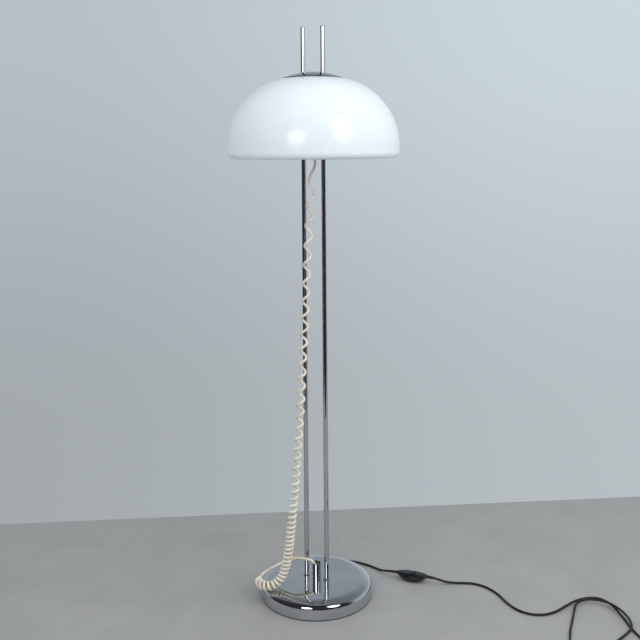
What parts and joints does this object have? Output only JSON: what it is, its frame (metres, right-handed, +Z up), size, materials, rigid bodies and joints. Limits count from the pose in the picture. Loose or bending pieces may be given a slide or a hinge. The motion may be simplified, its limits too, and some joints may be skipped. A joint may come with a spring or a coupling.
{
  "type": "mushroom floor lamp",
  "caption": "Floor lamp with an opal mushroom shade that slides on twin chromed rods above a heavy round base, with a curly cord and a mains lead.",
  "frame": {"origin": "middle of the round base, on the floor", "axes": "+Z up along the rods; +X through both rods, towards the right rod; +Y to the back, where the mains lead leaves the base"},
  "size_m": [0.9695, 0.4777, 1.3847],
  "materials": {
    "chrome": "polished",
    "opal_plastic": "satin, slightly translucent",
    "black_rubber": "matt",
    "grey_seal": "matt",
    "cast_weight": "rough, painted",
    "zinc_plate": "matt black",
    "zinc_steel": "zinc plated",
    "aluminium": "satin",
    "black_plastic": "glossy moulded",
    "matt_plastic": "moulded",
    "nylon": "natural",
    "brass": "plain",
    "bulb_glass": "frosted inside",
    "cream_cord": "soft, slightly glossy",
    "black_cord": "smooth",
    "brown_wire": "smooth",
    "blue_wire": "smooth",
    "white_plastic": "moulded",
    "black_bakelite": "moulded",
    "spring_steel": "oiled"
  },
  "bodies": {
    "stand": {"base_cover": "chrome", "base_edging": "black_rubber", "base_plate": "zinc_plate", "base_weight": "cast_weight", "plate_screws": "zinc_steel", "rod_left": "chrome", "rod_right": "chrome", "rod_ferrules": "chrome", "rod_spacers": "zinc_steel", "rod_washers": "zinc_steel", "rod_nuts": "zinc_steel", "rod_plugs": "chrome", "cord_stub": "chrome", "stub_nut": "brass", "lead_grommet": "black_rubber", "lead_inner_end": "black_cord", "lead_clamp": "matt_plastic", "terminal_block": "white_plastic", "terminal_inserts": "brass", "terminal_screws": "zinc_steel", "cord_clamp": "matt_plastic", "base_wires_brown": "brown_wire", "base_wires_blue": "blue_wire", "lead_base_to_switch": "black_cord", "lead_switch_to_coil": "black_cord", "lead_coil": "black_cord", "plug_body": "black_plastic", "plug_pins": "brass", "switch_lower_case": "black_plastic", "switch_upper_case": "black_plastic", "switch_screws": "zinc_steel", "switch_contacts": "brass", "switch_lead_ends": "black_cord", "rocker_pin": "zinc_steel", "curly_cord": "cream_cord"},
    "shade_carriage": {"shade": "opal_plastic", "shade_cap": "chrome", "cap_seal": "grey_seal", "clamp_seal": "grey_seal", "clamp_plate": "zinc_steel", "stud_nuts": "zinc_steel", "slider_block": "aluminium", "slider_screws": "zinc_steel", "guide_bushes": "nylon", "brake_shoes": "nylon", "brake_spring": "spring_steel", "lampholder_bracket": "zinc_steel", "bracket_screws": "zinc_steel", "lampholder_left": "black_bakelite", "lampholder_right": "black_bakelite", "nipple_nuts": "brass", "bulb_contacts": "brass", "bulb_bases": "aluminium", "bulb_glasses": "bulb_glass", "cord_gland": "matt_plastic", "gland_nut": "matt_plastic", "lamp_wires": "white_plastic"},
    "switch_rocker": {"rocker": "black_plastic"}
  },
  "joints": [
    {"name": "shade_slide", "type": "slide", "parent": "stand", "child": "shade_carriage", "axis": [0, 0, 1], "range_m": [-0.45, 0.105], "deforming": ["curly_cord"]},
    {"name": "rocker_hinge", "type": "hinge", "parent": "stand", "child": "switch_rocker", "pos_m": [0.1835, 0.164, 0.015], "axis": [-0.1392, 0.9903, 0], "range_deg": [0, 12]}
  ]
}
